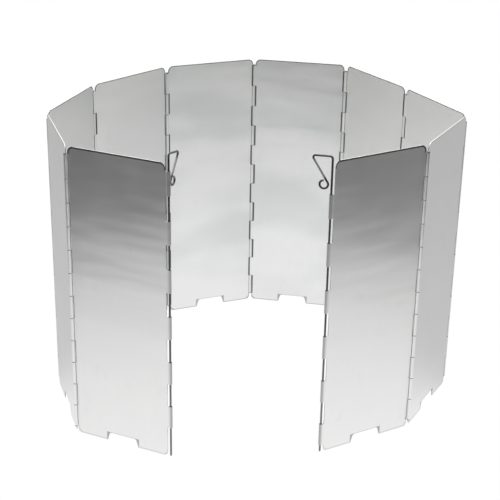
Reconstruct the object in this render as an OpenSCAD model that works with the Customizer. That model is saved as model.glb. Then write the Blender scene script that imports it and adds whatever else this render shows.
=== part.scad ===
// Folding stove windscreen: a chain of thin sheet plates standing on edge as an open ring.
// Neighbouring plates carry interleaved rolled knuckles on a common wire pin, and a loose
// wire stake with a bent handle stands in the knuckles of each free edge.
// Millimetres, +Z up, the ring's open side faces -Y, origin on the ground under the middle of the ring.

/* [Plates] */
// Spacing of the hinge axes measured along the sheet
plate_w = 84; // [60:0.5:110]
// Height of a plate from foot to top edge
plate_h = 240; // [160:1:300]
// Sheet thickness
sheet_t = 0.5; // [0.4:0.05:1]
// Radius of the two top corners
corner_r = 5; // [2:0.5:8]
// Radius of the two bottom corners
foot_r = 3.2; // [1:0.1:6]

/* [Air vent] */
// Width of the vent at the foot
vent_w = 27.5; // [10:0.5:50]
// Width of the vent at its top
vent_top_w = 23.5; // [8:0.5:46]
// Height of the vent
vent_h = 7; // [3:0.5:15]
// Radius in the upper corners of the vent
vent_r = 2.5; // [0.5:0.5:4]

/* [Hinges] */
// Knuckle places on each edge, counted over both plates of a hinge
places = 12; // [4:2:20]
// Plain edge above the first place and below the last
margin = 6; // [3:0.5:15]
// Clear height between neighbouring knuckles
knuckle_gap = 0.4; // [0.2:0.1:1]
// Hinge wire diameter
pin_d = 1.6; // [1:0.1:2.5]
// Radial clearance of a wire in a knuckle
pin_clear = 0.08; // [0.02:0.01:0.1]
// Distance of the hinge axis from the middle of the sheet
axis_off = 0.8; // [0.7:0.05:1.2]
// Distance from a hinge axis back to the notched edge of the sheet
setback = 1.5; // [1.45:0.05:4]
// Distance from a stake back to the notched free edge
free_setback = 2.2; // [1.5:0.1:4]
// Width of the open seam where the roll returns to the sheet
seam = 0.25; // [0.1:0.05:0.5]
// Radius of the upset head at each end of a hinge wire
pin_head_r = 1.2; // [0.9:0.05:1.35]
// Height of that head
pin_head_h = 0.8; // [0.4:0.1:1.5]

/* [Stakes] */
// Stake wire diameter
stake_d = 1.6; // [1:0.1:2.5]
// Height of the left stake's top above the plates
left_rise = 6.4; // [2:0.1:10]
// Height of the right stake's top above the plates
right_rise = 3.4; // [2:0.1:10]
// Droop of the left handle's arm
left_droop = 9; // [0:0.5:15]
// Droop of the right handle's arm
right_droop = 0; // [0:0.5:15]
// Length of the ground point
point_l = 1.2; // [0.5:0.1:10]
// Reach of the handle from the stem to its outer corner
arm_l = 15.4; // [10:0.1:25]
// Bend radius at the top of the stem
bend_r = 2; // [1.2:0.1:4]
// Bend radius at the outer corner
corner_bend_r = 1.8; // [1:0.1:3]
// Distance of the eye's centre from the stem
eye_off = 5.7; // [5.4:0.1:8]
// Drop of the eye's centre below the arm
eye_drop = 21.5; // [15:0.5:30]
// Mean radius of the eye
eye_r = 3.1; // [2:0.1:3.3]
// Turn of the wire round the eye
eye_sweep = 291; // [180:1:292]
// Direction of the left handle, from +X
left_handle_dir = 66; // [0:1:360]
// Direction of the right handle, from +X
right_handle_dir = 168; // [0:1:360]

/* [Ring] */
// Direction of the first plate, free edge to first hinge, from +X
first_dir = 156.0; // [90:0.1:180]
// Inward fold at hinge 1
fold_1 = 47.9; // [0:0.1:90]
// Inward fold at hinge 2
fold_2 = 36.8; // [0:0.1:90]
// Inward fold at hinge 3
fold_3 = 24.0; // [0:0.1:90]
// Inward fold at hinge 4
fold_4 = 25.3; // [0:0.1:90]
// Inward fold at hinge 5
fold_5 = 32.1; // [0:0.1:90]
// Inward fold at hinge 6
fold_6 = 46.9; // [0:0.1:90]
// Inward fold at hinge 7
fold_7 = 4.5; // [0:0.1:90]
// Inward fold at hinge 8
fold_8 = 56.7; // [0:0.1:90]
// Inward fold at hinge 9
fold_9 = 31.4; // [0:0.1:90]

/* [Hidden] */
$fn = 48;
folds = [fold_1, fold_2, fold_3, fold_4, fold_5, fold_6, fold_7, fold_8, fold_9];
plates = len(folds) + 1;
place_h = (plate_h - 2 * margin) / places;
pin_r = pin_d / 2;
bore_r = pin_r + pin_clear;
barrel_r = bore_r + sheet_t;
stake_r = stake_d / 2;

// barrels lean to the inside of the ring at even axes and to the outside at odd ones, so the
// chain closes like a bellows; side() is the lean of a plate's first barrel
function side(k) = k % 2 == 1 ? -1 : 1;
function dir(k) = k == 1 ? first_dir : dir(k - 1) - folds[k - 2];
function turned(a, p) = [p.x * cos(a) - p.y * sin(a), p.x * sin(a) + p.y * cos(a)];
function axis_at(k) = k == 0 ? [0, 0]
    : axis_at(k - 1) + turned(dir(k), [plate_w, -2 * side(k) * axis_off]);
axes_x = [for (k = [0 : plates]) axis_at(k).x];
axes_y = [for (k = [0 : plates]) axis_at(k).y];
mid = [(min(axes_x) + max(axes_x)) / 2, (min(axes_y) + max(axes_y)) / 2];
function axis_xy(k) = axis_at(k) - mid;
// foot of place j, counted from the top
function place_z(j) = plate_h - margin - j * place_h;

// ---- one plate, u along the sheet from its first axis, v outward, z up

// vent outline above the ground line
module vent() {
    a = vent_w / 2;
    lean = (vent_w - vent_top_w) / 2;
    n = sqrt(lean * lean + vent_h * vent_h);
    cx = a - (vent_r + (vent_h - vent_r) * lean / n) * n / vent_h;
    tx = cx + vent_r * vent_h / n;
    tz = vent_h - vent_r + vent_r * lean / n;
    polygon([[-a - lean / vent_h, -1], [a + lean / vent_h, -1], [tx, tz], [cx, vent_h - vent_r],
             [cx, vent_h], [-cx, vent_h], [-cx, vent_h - vent_r], [-tx, tz]]);
    for (m = [-1, 1]) translate([m * cx, vent_h - vent_r]) circle(r = vent_r);
}

// flat blank of a plate with its knuckle tabs; a and b are the setbacks of its two edges
module blank(a, b) {
    difference() {
        union() {
            difference() {
                translate([a, 0]) square([plate_w - a - b, plate_h]);
                for (u = [a - 1, plate_w - b - corner_r])
                    translate([u, plate_h - corner_r]) square([corner_r + 1, corner_r + 1]);
                for (u = [a - 1, plate_w - b - foot_r])
                    translate([u, -1]) square([foot_r + 1, foot_r + 1]);
            }
            for (u = [a + corner_r, plate_w - b - corner_r])
                translate([u, plate_h - corner_r]) circle(r = corner_r);
            for (u = [a + foot_r, plate_w - b - foot_r])
                translate([u, foot_r]) circle(r = foot_r);
            for (j = [1 : 2 : places])
                translate([0, place_z(j) + knuckle_gap / 2])
                    square([a + 1, place_h - knuckle_gap]);
            for (j = [2 : 2 : places])
                translate([plate_w - b - 1, place_z(j) + knuckle_gap / 2])
                    square([b + 1, place_h - knuckle_gap]);
        }
        translate([plate_w / 2, 0]) vent();
    }
}

// sheet with rolled knuckles on both edges
module sheet(s, a, b) {
    difference() {
        union() {
            rotate([90, 0, 0]) linear_extrude(height = sheet_t, center = true) blank(a, b);
            for (j = [1 : 2 : places])
                translate([0, s * axis_off, place_z(j) + knuckle_gap / 2])
                    cylinder(r = barrel_r, h = place_h - knuckle_gap);
            for (j = [2 : 2 : places])
                translate([plate_w, -s * axis_off, place_z(j) + knuckle_gap / 2])
                    cylinder(r = barrel_r, h = place_h - knuckle_gap);
        }
        translate([0, s * axis_off, 0]) cylinder(r = bore_r, h = plate_h);
        translate([plate_w, -s * axis_off, 0]) cylinder(r = bore_r, h = plate_h);
        // open seams
        translate([0.4, s > 0 ? sheet_t / 2 : -sheet_t / 2 - seam, 0])
            cube([barrel_r - 0.2, seam, plate_h]);
        translate([plate_w - barrel_r - 0.2, s > 0 ? -sheet_t / 2 - seam : sheet_t / 2, 0])
            cube([barrel_r - 0.2, seam, plate_h]);
    }
}

module plate(k) {
    translate([axis_xy(k - 1).x, axis_xy(k - 1).y, 0]) rotate([0, 0, dir(k)])
        translate([0, -side(k) * axis_off, 0])
            sheet(side(k), k == 1 ? free_setback : setback, k == plates ? free_setback : setback);
}

// ---- hinge wire with an upset head at each end
module pin(k) {
    lo = margin - pin_head_h;
    hi = plate_h - margin + pin_head_h;
    b = 0.3;
    translate([axis_xy(k).x, axis_xy(k).y, 0]) rotate_extrude()
        polygon([[0, lo], [pin_head_r - b, lo], [pin_head_r, lo + b], [pin_head_r, margin], [pin_r, margin],
                 [pin_r, plate_h - margin], [pin_head_r, plate_h - margin], [pin_head_r, hi - b],
                 [pin_head_r - b, hi], [0, hi]]);
}

// ---- stake bent from one wire, drawn in its own plane (x away from the stem, z up)

// wire bend of radius r about [x, z], from angle a to angle b
module bend(x, z, r, a, b) {
    translate([x, 0, z]) rotate([90, 0, 0]) rotate([0, 0, a])
        rotate_extrude(angle = b - a) translate([r, 0]) circle(r = stake_r);
}

module stake(rise, droop) {
    top = plate_h + rise;
    // arm from the end of the stem's bend to its outer corner
    ex = bend_r + bend_r * sin(droop);
    ez = top - bend_r + bend_r * cos(droop);
    arm = (arm_l - ex) / cos(droop);
    kz = ez - arm * sin(droop);
    // straight from the outer corner to the eye, touching it on the stem side
    dx = eye_off - arm_l;
    dz = top - eye_drop - kz;
    dist = sqrt(dx * dx + dz * dz);
    fall = atan2(dz, dx) + 360 - asin(eye_r / dist);
    run = sqrt(dist * dist - eye_r * eye_r);
    cut = corner_bend_r * tan((360 - droop - fall) / 2);
    hx = arm_l - cut * cos(droop);
    hz = kz + cut * sin(droop);
    // point and stem
    rotate_extrude() polygon([[0, 0], [0.45, 0], [stake_r, point_l], [stake_r, top - bend_r], [0, top - bend_r]]);
    bend(bend_r, top - bend_r, bend_r, 90 - droop, 180);
    translate([ex, 0, ez]) rotate([0, 90 + droop, 0]) cylinder(r = stake_r, h = arm - cut);
    bend(hx - corner_bend_r * sin(droop), hz - corner_bend_r * cos(droop), corner_bend_r, fall - 270, 90 - droop);
    translate([arm_l + run * cos(fall), 0, kz + run * sin(fall)]) rotate([0, 270 - fall, 0])
        cylinder(r = stake_r, h = run - cut);
    // the wire is a hair fuller where a straight meets a bend
    for (p = [[0, top - bend_r, 0], [ex, ez, 90 + droop], [hx, hz, 90 + droop],
              [arm_l + cut * cos(fall), kz + cut * sin(fall), 270 - fall],
              [arm_l + run * cos(fall), kz + run * sin(fall), 270 - fall]])
        translate([p[0], 0, p[1]]) rotate([0, p[2], 0]) sphere(r = stake_r + 0.03);
    bend(eye_off, top - eye_drop, eye_r, fall - 90, fall - 90 + eye_sweep);
}

// ---- sub-parts
module plate_1() color([0.78, 0.79, 0.80]) plate(1);
module plate_2() color([0.78, 0.79, 0.80]) plate(2);
module plate_3() color([0.78, 0.79, 0.80]) plate(3);
module plate_4() color([0.78, 0.79, 0.80]) plate(4);
module plate_5() color([0.78, 0.79, 0.80]) plate(5);
module plate_6() color([0.78, 0.79, 0.80]) plate(6);
module plate_7() color([0.78, 0.79, 0.80]) plate(7);
module plate_8() color([0.78, 0.79, 0.80]) plate(8);
module plate_9() color([0.78, 0.79, 0.80]) plate(9);
module plate_10() color([0.78, 0.79, 0.80]) plate(10);
module hinge_pin_1() color([0.50, 0.50, 0.51]) pin(1);
module hinge_pin_2() color([0.50, 0.50, 0.51]) pin(2);
module hinge_pin_3() color([0.50, 0.50, 0.51]) pin(3);
module hinge_pin_4() color([0.50, 0.50, 0.51]) pin(4);
module hinge_pin_5() color([0.50, 0.50, 0.51]) pin(5);
module hinge_pin_6() color([0.50, 0.50, 0.51]) pin(6);
module hinge_pin_7() color([0.50, 0.50, 0.51]) pin(7);
module hinge_pin_8() color([0.50, 0.50, 0.51]) pin(8);
module hinge_pin_9() color([0.50, 0.50, 0.51]) pin(9);
module stake_left() color([0.55, 0.55, 0.56])
    translate([axis_xy(0).x, axis_xy(0).y, 0]) rotate([0, 0, left_handle_dir]) stake(left_rise, left_droop);
module stake_right() color([0.55, 0.55, 0.56])
    translate([axis_xy(plates).x, axis_xy(plates).y, 0]) rotate([0, 0, right_handle_dir]) stake(right_rise, right_droop);

plate_1();
plate_2();
plate_3();
plate_4();
plate_5();
plate_6();
plate_7();
plate_8();
plate_9();
plate_10();
hinge_pin_1();
hinge_pin_2();
hinge_pin_3();
hinge_pin_4();
hinge_pin_5();
hinge_pin_6();
hinge_pin_7();
hinge_pin_8();
hinge_pin_9();
stake_left();
stake_right();
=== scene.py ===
import math

import bmesh
import bpy
from mathutils import Matrix, Vector
from mathutils.geometry import delaunay_2d_cdt


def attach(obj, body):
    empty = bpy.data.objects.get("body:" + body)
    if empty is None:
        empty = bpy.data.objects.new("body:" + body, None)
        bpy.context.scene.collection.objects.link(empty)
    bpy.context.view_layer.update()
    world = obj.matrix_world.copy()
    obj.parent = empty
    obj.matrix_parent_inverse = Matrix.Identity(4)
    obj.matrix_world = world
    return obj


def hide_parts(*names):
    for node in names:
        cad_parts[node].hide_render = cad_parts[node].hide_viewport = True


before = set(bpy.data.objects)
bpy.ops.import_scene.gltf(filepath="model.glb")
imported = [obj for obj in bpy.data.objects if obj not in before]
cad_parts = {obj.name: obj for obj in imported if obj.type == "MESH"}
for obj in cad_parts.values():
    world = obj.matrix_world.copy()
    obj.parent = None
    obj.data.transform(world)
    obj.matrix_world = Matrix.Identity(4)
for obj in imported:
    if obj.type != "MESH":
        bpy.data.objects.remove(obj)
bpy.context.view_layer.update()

MM = 0.001

# ---------------------------------------------------------------- sizes, mm
PLATES = 10
PITCH = 84.0            # hinge axis to hinge axis along the sheet
HEIGHT = 240.0
SHEET = 0.5
TOP_R = 5.0
FOOT_R = 3.2
SETBACK = 1.5
FREE_SETBACK = 2.2
LEAN = 0.8              # hinge axis to the middle of the sheet
PLACES = 12
MARGIN = 6.0
PLACE = (HEIGHT - 2 * MARGIN) / PLACES
GAP = 0.4
PIN_R = 0.8
BORE_R = 0.88
ROLL_R = BORE_R + SHEET / 2
FIRST_DIR = 156.0
FOLDS = (47.9, 36.8, 24.0, 25.3, 32.1, 46.9, 4.5, 56.7, 31.4)


def side(k):
    return -1 if k % 2 else 1


def turn(angle, x, y):
    c, s = math.cos(math.radians(angle)), math.sin(math.radians(angle))
    return x * c - y * s, x * s + y * c


DIRS = [None, FIRST_DIR]
for fold in FOLDS:
    DIRS.append(DIRS[-1] - fold)
AXES = [(0.0, 0.0)]
for k in range(1, PLATES + 1):
    dx, dy = turn(DIRS[k], PITCH, -2 * side(k) * LEAN)
    AXES.append((AXES[-1][0] + dx, AXES[-1][1] + dy))
mid_x = (min(a[0] for a in AXES) + max(a[0] for a in AXES)) / 2
mid_y = (min(a[1] for a in AXES) + max(a[1] for a in AXES)) / 2
AXES = [(a[0] - mid_x, a[1] - mid_y) for a in AXES]


def place_z(j):
    return HEIGHT - MARGIN - j * PLACE


# ---------------------------------------------------------------- materials
def new_material(name):
    m = bpy.data.materials.new(name)
    m.use_nodes = True
    nt = m.node_tree
    nt.nodes.clear()
    out = nt.nodes.new("ShaderNodeOutputMaterial")
    bsdf = nt.nodes.new("ShaderNodeBsdfPrincipled")
    nt.links.new(bsdf.outputs[0], out.inputs[0])
    return m, nt, bsdf


def node(nt, kind, **values):
    n = nt.nodes.new(kind)
    for key, value in values.items():
        if key in n.inputs:
            n.inputs[key].default_value = value
        else:
            setattr(n, key, value)
    return n


def maths(nt, op, a, b=None, c=None, clamp=False):
    n = nt.nodes.new("ShaderNodeMath")
    n.operation = op
    n.use_clamp = clamp
    for i, v in enumerate((a, b, c)):
        if v is None:
            continue
        if isinstance(v, (int, float)):
            n.inputs[i].default_value = v
        else:
            nt.links.new(v, n.inputs[i])
    return n.outputs[0]


def ramp(nt, source, lo, hi, to_lo=0.0, to_hi=1.0, smooth=True):
    n = nt.nodes.new("ShaderNodeMapRange")
    n.interpolation_type = "SMOOTHSTEP" if smooth else "LINEAR"
    n.clamp = True
    for i, v in enumerate((lo, hi, to_lo, to_hi)):
        n.inputs[1 + i].default_value = v
    nt.links.new(source, n.inputs[0])
    return n.outputs[0]


def stretched(nt, coords, scale, detail=3.0, rough=0.55, turn_z=0.0):
    """Noise over the piece's own coordinates in metres, scaled per axis."""
    mp = nt.nodes.new("ShaderNodeMapping")
    mp.inputs["Rotation"].default_value = (0.0, turn_z, 0.0)
    mp.inputs["Scale"].default_value = scale
    nt.links.new(coords, mp.inputs[0])
    n = node(nt, "ShaderNodeTexNoise", Scale=1.0, Detail=detail, Roughness=rough)
    nt.links.new(mp.outputs[0], n.inputs["Vector"])
    return n.outputs[0]


def own_coords(nt, spread):
    """Coordinates of the piece itself, shifted piece by piece so that no two wear alike."""
    tc = nt.nodes.new("ShaderNodeTexCoord")
    info = nt.nodes.new("ShaderNodeObjectInfo")
    shift = maths(nt, "MULTIPLY", info.outputs["Random"], spread)
    add = nt.nodes.new("ShaderNodeVectorMath")
    add.operation = "ADD"
    nt.links.new(tc.outputs["Object"], add.inputs[0])
    nt.links.new(shift, add.inputs[1])
    return add.outputs[0]


def colour_mix(nt, factor, a, b):
    n = nt.nodes.new("ShaderNodeMix")
    n.data_type = "RGBA"
    nt.links.new(factor, n.inputs[0])
    for socket, v in ((n.inputs[6], a), (n.inputs[7], b)):
        if isinstance(v, tuple):
            socket.default_value = (*v, 1.0)
        else:
            nt.links.new(v, socket)
    return n.outputs[2]


def edge_shade_mask(nt):
    """Painted shade along the edges of a plate: 1 on the edges, 0 a little way in, and 0 where a tab runs on into its
    roll.
    """
    tc = nt.nodes.new("ShaderNodeTexCoord")
    sep = nt.nodes.new("ShaderNodeSeparateXYZ")
    nt.links.new(tc.outputs["Object"], sep.inputs[0])
    u = maths(nt, "ABSOLUTE", maths(nt, "SUBTRACT", sep.outputs[0], 0.042))
    z = maths(nt, "ABSOLUTE", maths(nt, "SUBTRACT", sep.outputs[2], 0.120))
    du = maths(nt, "MAXIMUM", maths(nt, "SUBTRACT", u, 0.0405 - 0.005), 0.0)
    dz = maths(nt, "MAXIMUM", maths(nt, "SUBTRACT", z, 0.120 - 0.005), 0.0)
    inside = maths(nt, "LESS_THAN", sep.outputs[1], 0.0)
    far = maths(nt, "SQRT", maths(nt, "ADD", maths(nt, "MULTIPLY", du, du), maths(nt, "MULTIPLY", dz, dz)))
    far = maths(nt, "ADD", far, maths(nt, "MULTIPLY_ADD", inside, -0.0006, 0.0006))
    rim = maths(nt, "MULTIPLY", ramp(nt, far, 0.0039, 0.0047), maths(nt, "LESS_THAN", u, 0.0406))
    # places of the tabs, counted from the foot
    place = maths(nt, "FLOOR", maths(nt, "DIVIDE", maths(nt, "SUBTRACT", sep.outputs[2], 0.006), 0.019))
    odd = maths(nt, "MODULO", maths(nt, "ADD", place, 2.0), 2.0)
    right = maths(nt, "GREATER_THAN", sep.outputs[0], 0.042)
    free = maths(nt, "ABSOLUTE", maths(nt, "SUBTRACT", right, maths(nt, "SUBTRACT", 1.0, odd)))
    # painted shade along the top edges: always on the inside, and on the outside in full only on the two end plates,
    # faintly on the rest
    info = nt.nodes.new("ShaderNodeObjectInfo")
    outer_top_shade = nt.nodes.new("ShaderNodeSeparateColor")
    nt.links.new(info.outputs["Color"], outer_top_shade.inputs[0])
    top = maths(nt, "MULTIPLY", maths(nt, "GREATER_THAN", sep.outputs[2], 0.234),
                maths(nt, "LESS_THAN", sep.outputs[2], 0.23994))
    top = maths(nt, "MULTIPLY", top, maths(nt, "MAXIMUM", inside, outer_top_shade.outputs[0]))
    # painted shade along the foot, stronger on the inside, and in the crease along the right edge on the inside
    foot = maths(nt, "MULTIPLY", maths(nt, "LESS_THAN", sep.outputs[2], 0.006), maths(nt, "MULTIPLY_ADD", inside, 0.35, 0.2))
    crease = maths(nt, "MULTIPLY", maths(nt, "MULTIPLY", right, inside), 0.5)
    free = maths(nt, "MULTIPLY", free, maths(nt, "MULTIPLY_ADD", inside, 0.2, 0.8))
    # painted shade in the slot beside a neighbour's roll, wider on the inside
    slot = ramp(nt, maths(nt, "MULTIPLY_ADD", inside, 0.0005, u), 0.0396, 0.0401)
    slot = maths(nt, "MULTIPLY", maths(nt, "MULTIPLY", slot, free), maths(nt, "LESS_THAN", u, 0.0406))
    slot = maths(nt, "MULTIPLY", slot, maths(nt, "LESS_THAN", z, 0.114))
    crease = maths(nt, "MULTIPLY", crease, maths(nt, "LESS_THAN", z, 0.114))
    where = maths(nt, "MAXIMUM", maths(nt, "MAXIMUM", top, foot), crease)
    # painted shade round the arched opening in the foot
    vent = maths(nt, "MULTIPLY", ramp(nt, u, 0.0148, 0.0138), ramp(nt, sep.outputs[2], 0.0078, 0.0070, 0.0, 0.55))
    # painted shade on the ends of the rolls
    facing = nt.nodes.new("ShaderNodeSeparateXYZ")
    nt.links.new(tc.outputs["Normal"], facing.inputs[0])
    ends = maths(nt, "GREATER_THAN", maths(nt, "ABSOLUTE", facing.outputs[2]), 0.6)
    ends = maths(nt, "MULTIPLY", maths(nt, "MULTIPLY", ends, maths(nt, "GREATER_THAN", u, 0.0409)), 0.85)
    vent = maths(nt, "MAXIMUM", vent, ends)
    return maths(nt, "MAXIMUM", maths(nt, "MAXIMUM", maths(nt, "MULTIPLY", rim, where), slot), vent)


def sheet_material():
    """Satin rolled aluminium: fine upright rolling grain and handling marks, with painted shade along the edges and
    painted reflection bands.
    """
    m, nt, bsdf = new_material("satin_aluminium_sheet")
    xyz = own_coords(nt, 7.0)
    grain = stretched(nt, xyz, (1700, 1700, 9), 3.0, 0.6)
    fine = stretched(nt, xyz, (5200, 5200, 30), 2.0, 0.5)
    cloud = stretched(nt, xyz, (26, 26, 20), 4.0, 0.6)
    smudge = stretched(nt, xyz, (75, 75, 60), 5.0, 0.62)
    scratch_a = stretched(nt, xyz, (2600, 2600, 14), 1.0, 0.4, math.radians(7))
    scratch_b = stretched(nt, xyz, (14, 2000, 2300), 1.0, 0.4, math.radians(-16))
    marks = ramp(nt, smudge, 0.56, 0.74)
    lines = maths(nt, "MAXIMUM", ramp(nt, scratch_a, 0.70, 0.78), ramp(nt, scratch_b, 0.725, 0.79))
    rim = edge_shade_mask(nt)
    # painted reflection: soft level bands of a darker, bluish tone, weaker towards the foot, their weight and place set
    # plate by plate
    info = nt.nodes.new("ShaderNodeObjectInfo")
    per_plate = nt.nodes.new("ShaderNodeSeparateColor")
    nt.links.new(info.outputs["Color"], per_plate.inputs[0])
    moved = nt.nodes.new("ShaderNodeVectorMath")
    moved.operation = "ADD"
    own = nt.nodes.new("ShaderNodeTexCoord")
    nt.links.new(own.outputs["Object"], moved.inputs[0])
    nt.links.new(maths(nt, "MULTIPLY", per_plate.outputs[2], 10.0), moved.inputs[1])
    bands = stretched(nt, moved.outputs[0], (8, 8, 34), 2.0, 0.5)
    painted_reflection = ramp(nt, stretched(nt, moved.outputs[0], (9, 9, 21), 2.0, 0.45), 0.38, 0.66, 0.32, 0.90)
    up = nt.nodes.new("ShaderNodeSeparateXYZ")
    nt.links.new(own.outputs["Object"], up.inputs[0])
    painted_reflection = maths(nt, "MULTIPLY", painted_reflection, ramp(nt, up.outputs[2], -0.04, 0.06))
    painted_reflection = maths(nt, "MULTIPLY", painted_reflection, per_plate.outputs[1])

    tone = colour_mix(nt, ramp(nt, cloud, 0.3, 0.7), (0.944, 0.945, 0.939), (0.960, 0.961, 0.957))
    tone = colour_mix(nt, ramp(nt, grain, 0.35, 0.65, 0.0, 0.35), tone, (0.918, 0.919, 0.913))
    tone = colour_mix(nt, maths(nt, "MULTIPLY", marks, 0.55), tone, (0.895, 0.896, 0.889))
    tone = colour_mix(nt, maths(nt, "MULTIPLY", lines, 0.35), tone, (0.975, 0.975, 0.972))
    # painted reflection bands
    tone = colour_mix(nt, painted_reflection, tone, (0.755, 0.769, 0.773))
    # a more matt finish on some plates, with a paler base there that is painted light brightening these plates
    matt_and_painted_light = maths(nt, "SUBTRACT", 1.0, info.outputs["Alpha"])
    tone = colour_mix(nt, matt_and_painted_light, tone, (0.992, 0.993, 0.988))
    # painted shade on the rolls of the two free edges, deepening across each roll away from its plate
    off = maths(nt, "ABSOLUTE", maths(nt, "SUBTRACT", up.outputs[0], 0.042))
    left_one = maths(nt, "LESS_THAN", per_plate.outputs[2], 0.3)
    left_edge = maths(nt, "LESS_THAN", up.outputs[0], 0.042)
    free_roll_shade = maths(nt, "SUBTRACT", 1.0, maths(nt, "ABSOLUTE", maths(nt, "SUBTRACT", left_one, left_edge)))
    free_roll_shade = maths(nt, "MULTIPLY", free_roll_shade, maths(nt, "GREATER_THAN", per_plate.outputs[0], 0.5))
    free_roll_shade = maths(nt, "MULTIPLY", maths(nt, "MULTIPLY", free_roll_shade, maths(nt, "GREATER_THAN", off, 0.0407)),
                 ramp(nt, off, 0.0412, 0.0433, 0.15, 0.85))
    tone = colour_mix(nt, free_roll_shade, tone, (0.36, 0.36, 0.357))
    # painted shade along the edges, in the slots, round the foot opening and on the roll ends
    tone = colour_mix(nt, rim, tone, (0.10, 0.10, 0.10))
    nt.links.new(tone, bsdf.inputs["Base Color"])

    rough = maths(nt, "MULTIPLY_ADD", cloud, 0.10, 0.235)
    rough = maths(nt, "MULTIPLY_ADD", grain, 0.06, rough)
    rough = maths(nt, "MULTIPLY_ADD", marks, 0.02, rough)
    rough = maths(nt, "MULTIPLY_ADD", lines, 0.08, rough)
    rough = maths(nt, "MULTIPLY_ADD", rim, 0.08, rough)
    rough = maths(nt, "MULTIPLY_ADD", matt_and_painted_light, 0.20, rough)
    nt.links.new(rough, bsdf.inputs["Roughness"])

    height = maths(nt, "MULTIPLY_ADD", fine, 0.35, grain)
    height = maths(nt, "MULTIPLY_ADD", lines, -0.8, height)
    b1 = node(nt, "ShaderNodeBump", Strength=0.10, Distance=0.00003)
    nt.links.new(height, b1.inputs["Height"])
    b2 = node(nt, "ShaderNodeBump", Strength=0.5, Distance=0.001)
    nt.links.new(bands, b2.inputs["Height"])
    nt.links.new(b1.outputs[0], b2.inputs["Normal"])
    nt.links.new(b2.outputs[0], bsdf.inputs["Normal"])

    tangent = node(nt, "ShaderNodeTangent", direction_type="UV_MAP", uv_map="grain")
    nt.links.new(tangent.outputs[0], bsdf.inputs["Tangent"])
    bsdf.inputs["Metallic"].default_value = 1.0
    bsdf.inputs["Anisotropic"].default_value = 0.55
    return m


def wire_material(name, dark, light, rough_base, lighter_point_and_handle_highlight=False):
    """Drawn steel wire: lengthwise draw lines, a little dull skin and rubbed bright spots."""
    m, nt, bsdf = new_material(name)
    xyz = own_coords(nt, 5.0)
    draw = stretched(nt, xyz, (4200, 4200, 45), 2.0, 0.5)
    skin = stretched(nt, xyz, (230, 230, 120), 4.0, 0.6)
    rub = ramp(nt, stretched(nt, xyz, (420, 420, 60), 3.0, 0.6), 0.55, 0.72)
    tone = colour_mix(nt, ramp(nt, skin, 0.3, 0.7), dark, light)
    tone = colour_mix(nt, ramp(nt, draw, 0.4, 0.7, 0.0, 0.3), tone, tuple(0.7 * v for v in dark))
    tone = colour_mix(nt, maths(nt, "MULTIPLY", rub, 0.5), tone, tuple(min(1.0, 1.35 * v) for v in light))
    if lighter_point_and_handle_highlight:
        # lighter towards the point, and a painted highlight on the slanting side of the handle
        tc = nt.nodes.new("ShaderNodeTexCoord")
        sep = nt.nodes.new("ShaderNodeSeparateXYZ")
        nt.links.new(tc.outputs["Object"], sep.inputs[0])
        tone = colour_mix(nt, ramp(nt, sep.outputs[2], 0.13, 0.03, 0.0, 0.85), tone, (0.24, 0.24, 0.242))
        # painted highlight on the slanting side of the handle
        handle_highlight = maths(nt, "MULTIPLY", ramp(nt, sep.outputs[2], 0.2245, 0.2295), ramp(nt, sep.outputs[2], 0.2425, 0.2385))
        handle_highlight = maths(nt, "MULTIPLY", handle_highlight, ramp(nt, sep.outputs[0], 0.0035, 0.0060, 0.0, 0.85))
        tone = colour_mix(nt, handle_highlight, tone, (0.46, 0.46, 0.465))
    nt.links.new(tone, bsdf.inputs["Base Color"])
    rough = maths(nt, "MULTIPLY_ADD", skin, 0.16, rough_base)
    rough = maths(nt, "MULTIPLY_ADD", rub, -0.07, rough)
    nt.links.new(rough, bsdf.inputs["Roughness"])
    b = node(nt, "ShaderNodeBump", Strength=0.2, Distance=0.00004)
    nt.links.new(draw, b.inputs["Height"])
    nt.links.new(b.outputs[0], bsdf.inputs["Normal"])
    bsdf.inputs["Metallic"].default_value = 1.0
    return m


SHEET_MAT = sheet_material()
PIN_MAT = wire_material("drawn_hinge_wire", (0.20, 0.20, 0.20), (0.29, 0.29, 0.295), 0.26)
STAKE_MAT = wire_material("drawn_stake_wire", (0.075, 0.075, 0.076), (0.135, 0.135, 0.136), 0.24, True)
for name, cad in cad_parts.items():
    keep = STAKE_MAT if name.startswith("stake") else PIN_MAT if name.startswith("hinge") else SHEET_MAT
    cad.data.materials.clear()
    cad.data.materials.append(keep)


# ---------------------------------------------------------------- helpers for pieces
def add_piece(name, bm, matrix, mat, sharp=21.0):
    me = bpy.data.meshes.new(name)
    bmesh.ops.recalc_face_normals(bm, faces=bm.faces[:])
    bm.to_mesh(me)
    bm.free()
    me.shade_smooth()
    me.set_sharp_from_angle(angle=math.radians(sharp))
    me.materials.append(mat)
    ob = bpy.data.objects.new(name, me)
    bpy.context.scene.collection.objects.link(ob)
    ob.matrix_world = matrix
    return ob


# ---------------------------------------------------------------- plates
def arc(cx, cz, r, a0, a1, n):
    return [(cx + r * math.cos(math.radians(a0 + (a1 - a0) * i / n)),
             cz + r * math.sin(math.radians(a0 + (a1 - a0) * i / n))) for i in range(n + 1)]


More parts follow.
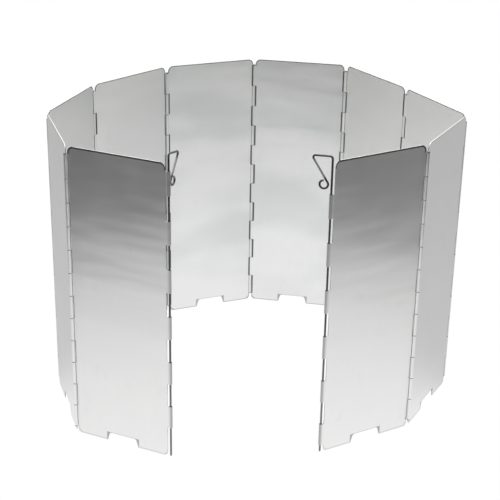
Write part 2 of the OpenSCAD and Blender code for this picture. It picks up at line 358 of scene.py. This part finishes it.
def outline(a, b):
    """Flat sheet between its two notched edges, anticlockwise in (u, z)."""
    e = PITCH - b
    c = PITCH / 2
    lean = 2.0
    n = math.hypot(lean, 7.0)
    cx = 13.75 - (2.5 + 4.5 * lean / n) * n / 7.0
    slope = math.degrees(math.atan2(lean, 7.0))
    pts = arc(a + FOOT_R, FOOT_R, FOOT_R, 180, 270, 7)
    pts.append((c - 13.75, 0.0))
    pts += arc(c - cx, 4.5, 2.5, 180 - slope, 90, 6)
    pts += arc(c + cx, 4.5, 2.5, 90, slope, 6)
    pts.append((c + 13.75, 0.0))
    pts += arc(e - FOOT_R, FOOT_R, FOOT_R, 270, 360, 7)
    for j in range(PLACES, 0, -2):
        z = place_z(j) + GAP / 2
        pts += [(e, z), (e, z + PLACE - GAP)]
    pts += arc(e - TOP_R, HEIGHT - TOP_R, TOP_R, 0, 90, 9)
    pts += arc(a + TOP_R, HEIGHT - TOP_R, TOP_R, 90, 180, 9)
    for j in range(1, PLACES, 2):
        z = place_z(j) + GAP / 2
        pts += [(a, z + PLACE - GAP), (a, z)]
    return pts


def roll_path(root, s):
    """Middle of the sheet from its notched edge round the wire, in (u, v) from the axis side."""
    pts = [(root, 0.0)]
    if root > 1.8:
        pts.append((1.5, 0.0))
    pts.append((1.38, 0.0))
    drop = LEAN - ROLL_R
    for i in range(1, 9):
        f = i / 8
        pts.append((1.38 - 0.76 * f, s * drop * (0.5 - 0.5 * math.cos(math.pi * f))))
    pts.append((0.3, s * drop))
    steps = 22
    for i in range(steps + 1):
        t = math.radians(-90 - 282 * i / steps)
        pts.append((ROLL_R * math.cos(t), s * (LEAN + ROLL_R * math.sin(t))))
    return pts


def bow(k, u, z):
    """Slight unevenness of the sheet, nil along the hinge edges."""
    f = max(0.0, min(1.0, (u - 4) / 14)) * max(0.0, min(1.0, (PITCH - 4 - u) / 14))
    p = 1.7 * k
    return f * (0.10 * math.sin(z / 38.0 + p) + 0.06 * math.sin(z / 17.0 + 2.3 * p + u / 40.0)
                + 0.05 * math.sin(u / 21.0 + 1.1 * p))


def build_plate(k):
    s = side(k)
    a = FREE_SETBACK if k == 1 else SETBACK
    b = FREE_SETBACK if k == PLATES else SETBACK
    rimline = outline(a, b)
    inner = []
    nu, nz = 11, 27
    for i in range(nu):
        for j in range(nz):
            u = a + 4.0 + (PITCH - a - b - 8.0) * i / (nu - 1)
            z = 12.0 + (HEIGHT - 8.0 - 12.0) * j / (nz - 1)
            inner.append((u, z))
    n = len(rimline)
    coords, _, faces, _, _, _ = delaunay_2d_cdt(
        [Vector(p) for p in rimline + inner], [(i, (i + 1) % n) for i in range(n)],
        [list(range(n))], 1, 1e-6)
    mid, normal, dev = [], [], []
    where = {}
    for c in coords:
        where[(round(c.x, 3), round(c.y, 3))] = len(mid)
        mid.append((c.x, bow(k, c.x, c.y), c.y))
        normal.append((0.0, 1.0))
        dev.append((c.x, c.y))
    quads = [tuple(f) for f in faces]
    edge_of = {}

    def tab(root, z, lean, flip):
        path = roll_path(root, lean)
        if flip:
            path = [(PITCH - u, v) for u, v in path]
        at = PITCH - root if flip else root
        low = where[(round(at, 3), round(z, 3))]
        high = where[(round(at, 3), round(z + PLACE - GAP, 3))]
        run = 0.0
        for i in range(1, len(path)):
            u, v = path[i]
            before = path[i - 1]
            after = path[min(i + 1, len(path) - 1)]
            tx, ty = after[0] - before[0], after[1] - before[1]
            ln = math.hypot(tx, ty)
            nx, ny = (-ty / ln, tx / ln) if flip else (ty / ln, -tx / ln)
            run += math.hypot(u - before[0], v - before[1])
            pair = []
            for zz in (z, z + PLACE - GAP):
                pair.append(len(mid))
                mid.append((u, v, zz))
                normal.append((nx, ny))
                dev.append((at + run if flip else at - run, zz))
            quads.append((low, high, pair[1], pair[0]) if flip else (low, pair[0], pair[1], high))
            low, high = pair

    for j in range(1, PLACES, 2):
        tab(a, place_z(j) + GAP / 2, s, False)
    for j in range(2, PLACES + 1, 2):
        tab(b, place_z(j) + GAP / 2, -s, True)

    for f in quads:
        for i in range(len(f)):
            key = frozenset((f[i], f[(i + 1) % len(f)]))
            edge_of[key] = edge_of.get(key, 0) + 1
    bm = bmesh.new()
    uv = bm.loops.layers.uv.new("grain")
    half = SHEET / 2
    front, back = [], []
    for (u, v, z), (nx, ny) in zip(mid, normal):
        front.append(bm.verts.new((u + nx * half, v + ny * half, z)))
        back.append(bm.verts.new((u - nx * half, v - ny * half, z)))
    spot = {}
    for i in range(len(mid)):
        spot[front[i]] = spot[back[i]] = dev[i]
    for f in quads:
        bm.faces.new([front[i] for i in f])
        bm.faces.new([back[i] for i in reversed(f)])
    sharp = []
    for f in quads:
        for i in range(len(f)):
            p, q = f[i], f[(i + 1) % len(f)]
            if edge_of[frozenset((p, q))] == 1:
                bm.faces.new((front[q], front[p], back[p], back[q]))
                for side_verts in (front, back):
                    sharp.append(bm.edges.get((side_verts[p], side_verts[q])))
    for f in bm.faces:
        for loop in f.loops:
            w, z = spot[loop.vert]
            loop[uv].uv = (w / 100.0, z / 100.0)
    flat = [e for e in bm.edges if len(e.link_faces) == 2 and e.calc_face_angle(1.0) < 0.02
            and all(len(f.verts) == 3 for f in e.link_faces)]
    bmesh.ops.join_triangles(bm, faces=list({f for e in flat for f in e.link_faces}),
                             angle_face_threshold=0.05, angle_shape_threshold=0.5)
    sharp = [e for e in sharp if e.is_valid]
    bmesh.ops.bevel(bm, geom=sharp, offset=0.09, offset_type="OFFSET", segments=2, profile=0.5,
                    affect="EDGES", clamp_overlap=True)
    bmesh.ops.scale(bm, vec=(MM, MM, MM), verts=bm.verts[:])
    place = (Matrix.Translation((AXES[k - 1][0] * MM, AXES[k - 1][1] * MM, 0.0))
             @ Matrix.Rotation(math.radians(DIRS[k]), 4, "Z")
             @ Matrix.Translation((0.0, -s * LEAN * MM, 0.0)))
    ob = add_piece("sheet_%d" % k, bm, place, SHEET_MAT)
    # object colour: red sets the painted shade on the outer top edges (full on the two end plates) and picks the end
    # plates for the painted shade on their free-edge rolls; green weighs the painted reflection bands, blue shifts them
    # and tells plate 1 from plate 10; alpha 0 gives the rougher finish with a paler, painted-light base
    painted_reflection = {4: 0.55, 5: 1.0, 6: 0.95, 7: 0.0, 8: 0.0}.get(k, 0.12)
    seed = (0.097, 0.559, 0.174, 0.328, 0.867, 0.020, 0.482, 0.790, 0.405, 0.636)[k - 1]
    ob.color = (1.0 if k in (1, PLATES) else 0.15, painted_reflection, seed, 0.0 if k in (7, 8) else 1.0)
    return ob


# ---------------------------------------------------------------- wires
def sweep(centres, radii, tangents, sides=18):
    """Round wire along a path in its own x-z plane, closed at both ends."""
    bm = bmesh.new()
    rings = []
    for (x, z), r, (tx, tz) in zip(centres, radii, tangents):
        nx, nz = -tz, tx
        ring = []
        for i in range(sides):
            t = 2 * math.pi * i / sides
            c, s = r * math.cos(t), r * math.sin(t)
            ring.append(bm.verts.new(((x + nx * c) * MM, s * MM, (z + nz * c) * MM)))
        rings.append(ring)
    for p, q in zip(rings, rings[1:]):
        for i in range(sides):
            j = (i + 1) % sides
            bm.faces.new((p[i], p[j], q[j], q[i]))
    bm.faces.new(rings[0])
    bm.faces.new(list(reversed(rings[-1])))
    return bm


def build_pin(k):
    lo, hi = MARGIN - 0.8, HEIGHT - MARGIN + 0.8
    prof = [(0.72, lo), (0.9, lo + 0.02), (1.07, lo + 0.13), (1.2, lo + 0.33), (1.2, MARGIN - 0.12), (1.1, MARGIN),
            (PIN_R, MARGIN)]
    prof += [(PIN_R, MARGIN + (HEIGHT - 2 * MARGIN) * i / 24) for i in range(1, 24)]
    prof += [(PIN_R, HEIGHT - MARGIN), (1.1, HEIGHT - MARGIN), (1.2, HEIGHT - MARGIN + 0.12), (1.2, hi - 0.33),
             (1.07, hi - 0.13), (0.9, hi - 0.02), (0.72, hi)]
    bm = sweep([(0.0, z) for _, z in prof], [r for r, _ in prof], [(0.0, 1.0)] * len(prof), 20)
    return add_piece("wire_pin_%d" % k, bm, Matrix.Translation((AXES[k][0] * MM, AXES[k][1] * MM, 0.0)), PIN_MAT)


def build_stake(name, axis, heading, rise, droop):
    r, top, bend_r, arm_l, corner_r = 0.8, HEIGHT + rise, 2.0, 15.4, 1.8
    eye_x, drop, eye_r, eye_sweep = 5.7, 21.5, 3.1, 299.0
    cd, sd = math.cos(math.radians(droop)), math.sin(math.radians(droop))
    ex, ez = bend_r + bend_r * sd, top - bend_r + bend_r * cd
    arm = (arm_l - ex) / cd
    kz = ez - arm * sd
    dx, dz = eye_x - arm_l, top - drop - kz
    dist = math.hypot(dx, dz)
    fall = math.degrees(math.atan2(dz, dx)) + 360 - math.degrees(math.asin(eye_r / dist))
    run = math.sqrt(dist * dist - eye_r * eye_r)
    turn_by = 360 - droop - fall
    cut = corner_r * math.tan(math.radians(turn_by / 2))
    hx, hz = arm_l - cut * cd, kz + cut * sd
    cx, cz = hx - corner_r * sd, hz - corner_r * cd
    pts = [((0, 0.0), 0.45, 90), ((0, 0.03), 0.49, 90), ((0, 0.6), 0.68, 90), ((0, 1.2), 0.8, 90)]
    for i in range(1, 25):
        pts.append(((0, 1.2 + (top - bend_r - 1.2) * i / 24), r, 90))
    for i in range(1, 11):
        t = 180 - (90 + droop) * i / 10
        pts.append(((bend_r + bend_r * math.cos(math.radians(t)), top - bend_r + bend_r * math.sin(math.radians(t))), r, t - 90))
    for i in range(1, 4):
        f = (arm - cut) * i / 3
        pts.append(((ex + f * cd, ez - f * sd), r, -droop))
    for i in range(1, 15):
        t = 90 - droop - turn_by * i / 14
        pts.append(((cx + corner_r * math.cos(math.radians(t)), cz + corner_r * math.sin(math.radians(t))), r, t - 90))
    for i in range(1, 9):
        d = cut + (run - cut) * i / 8
        pts.append(((arm_l + d * math.cos(math.radians(fall)), kz + d * math.sin(math.radians(fall))), r, fall))
    for i in range(1, 37):
        t = fall - 90 + eye_sweep * i / 36
        pts.append(((eye_x + eye_r * math.cos(math.radians(t)), top - drop + eye_r * math.sin(math.radians(t))), r, t + 90))
    (x, z), _, t = pts[-1]
    c, s = math.cos(math.radians(t)), math.sin(math.radians(t))
    pts[-1] = ((x - 0.14 * c, z - 0.14 * s), r, t)
    pts.append(((x, z), 0.66, t))
    bm = sweep([p for p, _, _ in pts], [q for _, q, _ in pts],
               [(math.cos(math.radians(t)), math.sin(math.radians(t))) for _, _, t in pts], 20)
    place = Matrix.Translation((axis[0] * MM, axis[1] * MM, 0.0)) @ Matrix.Rotation(math.radians(heading), 4, "Z")
    return add_piece(name, bm, place, STAKE_MAT)


PIN_BODY = {1: 2, 2: 3, 3: 4, 4: 5, 5: 5, 6: 6, 7: 7, 8: 8, 9: 9}
for k in range(1, PLATES + 1):
    piece = build_plate(k)
    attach(piece, "plate_%d" % k)
    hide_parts("plate_%d" % k)
for k in range(1, PLATES):
    piece = build_pin(k)
    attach(piece, "plate_%d" % PIN_BODY[k])
    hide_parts("hinge_pin_%d" % k)
for name, axis, heading, rise, droop in (("stake_left", AXES[0], 66.0, 6.4, 9.0),
                                         ("stake_right", AXES[PLATES], 168.0, 3.4, 0.0)):
    piece = build_stake("wire_" + name, axis, heading, rise, droop)
    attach(piece, name)
    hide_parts(name)


# ---------------------------------------------------------------- floor and light
def stage_mesh(name, verts, faces, mat):
    me = bpy.data.meshes.new(name)
    me.from_pydata(verts, [], faces)
    me.materials.append(mat)
    ob = bpy.data.objects.new(name, me)
    bpy.context.scene.collection.objects.link(ob)
    return ob


def emission(name, colour, strength):
    m = bpy.data.materials.new(name)
    m.use_nodes = True
    nt = m.node_tree
    nt.nodes.clear()
    out = nt.nodes.new("ShaderNodeOutputMaterial")
    em = nt.nodes.new("ShaderNodeEmission")
    em.inputs["Color"].default_value = (*colour, 1.0)
    em.inputs["Strength"].default_value = strength
    nt.links.new(em.outputs[0], out.inputs[0])
    return m, nt, em


def ground(name, z, half, mat):
    return stage_mesh(name, [(-half, -half, z), (half, -half, z), (half, half, z), (-half, half, z)], [(0, 1, 2, 3)], mat)


# the camera sees a plain white floor; in its place the metal mirrors a table with a soft pool of light in front
# of the ring and an even, dimmer level behind it
floor_mat, _, _ = emission("white_floor", (1.0, 1.0, 1.0), 1.0)
floor = ground("floor", -0.0006, 30.0, floor_mat)
floor.visible_glossy = False
floor.visible_diffuse = False
floor.visible_shadow = False

table_mat, nt, em = emission("table_light", (1.0, 1.0, 1.0), 1.0)
tc = nt.nodes.new("ShaderNodeTexCoord")
sep = nt.nodes.new("ShaderNodeSeparateXYZ")
nt.links.new(tc.outputs["Object"], sep.inputs[0])
X, Y = sep.outputs[0], sep.outputs[1]
radius = maths(nt, "SQRT", maths(nt, "ADD", maths(nt, "MULTIPLY", X, X), maths(nt, "MULTIPLY", Y, Y)))
wide = maths(nt, "MULTIPLY", X, 1.4)
oval = maths(nt, "SQRT", maths(nt, "ADD", maths(nt, "MULTIPLY", wide, wide), maths(nt, "MULTIPLY", Y, Y)))


def falloff(distance, stops):
    """Brightness of the table against distance from the middle of the ring, in metres."""
    n = nt.nodes.new("ShaderNodeValToRGB")
    e = n.color_ramp.elements
    while len(e) < len(stops):
        e.new(0.5)
    for item, (r, v) in zip(e, stops):
        item.position = r
        item.color = (v, v, v, 1.0)
    nt.links.new(distance, n.inputs[0])
    return n.outputs[0]


pool = falloff(oval, [(0.0, 0.95), (0.40, 0.80), (0.62, 0.62), (0.80, 0.10)])
even = falloff(radius, [(0.0, 0.94), (0.145, 0.87), (0.17, 0.58), (0.75, 0.50)])
to_back = ramp(nt, maths(nt, "DIVIDE", Y, maths(nt, "MAXIMUM", radius, 0.001)), -0.55, 0.12)
level = colour_mix(nt, to_back, pool, even)
nt.links.new(level, em.inputs["Color"])
table = ground("table_light", -0.0003, 3.0, table_mat)
table.visible_camera = False
table.visible_diffuse = False
table.visible_shadow = False
table.visible_transmission = False

world = bpy.data.worlds.new("studio")
bpy.context.scene.world = world
world.use_nodes = True
nt = world.node_tree
nt.nodes.clear()
out = nt.nodes.new("ShaderNodeOutputWorld")
mix = nt.nodes.new("ShaderNodeMixShader")
seen = node(nt, "ShaderNodeBackground", Color=(1.0, 1.0, 1.0, 1.0), Strength=1.0)
room = node(nt, "ShaderNodeBackground", Color=(0.99, 1.0, 0.97, 1.0), Strength=0.5)
path = nt.nodes.new("ShaderNodeLightPath")
tc = nt.nodes.new("ShaderNodeTexCoord")
sep = nt.nodes.new("ShaderNodeSeparateXYZ")
nt.links.new(tc.outputs["Generated"], sep.inputs[0])
overhead = ramp(nt, sep.outputs[2], 0.15, 0.95, 0.27, 1.2)
behind = ramp(nt, sep.outputs[1], -0.2, 0.4, 0.0, 0.8)
nt.links.new(maths(nt, "ADD", overhead, behind), room.inputs["Strength"])
nt.links.new(path.outputs["Is Camera Ray"], mix.inputs[0])
nt.links.new(room.outputs[0], mix.inputs[1])
nt.links.new(seen.outputs[0], mix.inputs[2])
nt.links.new(mix.outputs[0], out.inputs[0])


def softbox(name, location, target, size, power):
    data = bpy.data.lights.new(name, "AREA")
    data.shape = "RECTANGLE"
    data.size, data.size_y = size
    data.energy = power
    ob = bpy.data.objects.new(name, data)
    bpy.context.scene.collection.objects.link(ob)
    ob.location = location
    ob.rotation_mode = "QUATERNION"
    ob.rotation_quaternion = (Vector(target) - Vector(location)).to_track_quat("-Z", "Y")
    return ob


softbox("overhead", (0.0, 0.1, 1.5), (0.0, 0.0, 0.0), (1.6, 1.4), 14.0)

scene = bpy.context.scene
scene.view_settings.view_transform = "Standard"
scene.view_settings.look = "None"

# ---------------------------------------------------------------- camera
pitch, roll = math.radians(23.356), math.radians(1.0697)
right = Vector((1.0, 0.0, 0.0))
up = Vector((0.0, math.sin(pitch), math.cos(pitch)))
ahead = Vector((0.0, math.cos(pitch), -math.sin(pitch)))
cam_right = math.cos(roll) * right + math.sin(roll) * up
cam_up = -math.sin(roll) * right + math.cos(roll) * up
cam_data = bpy.data.cameras.new("camera")
cam_data.sensor_fit = "HORIZONTAL"
cam_data.sensor_width = 36.0
cam_data.lens = 36.0 * 1267.57 / 500.0
cam_data.clip_start, cam_data.clip_end = 0.05, 100.0
cam = bpy.data.objects.new("camera", cam_data)
scene.collection.objects.link(cam)
cam.matrix_world = Matrix((
    (cam_right.x, cam_up.x, -ahead.x, -0.004401),
    (cam_right.y, cam_up.y, -ahead.y, -0.981513),
    (cam_right.z, cam_up.z, -ahead.z, 0.53666),
    (0.0, 0.0, 0.0, 1.0)))
scene.camera = cam
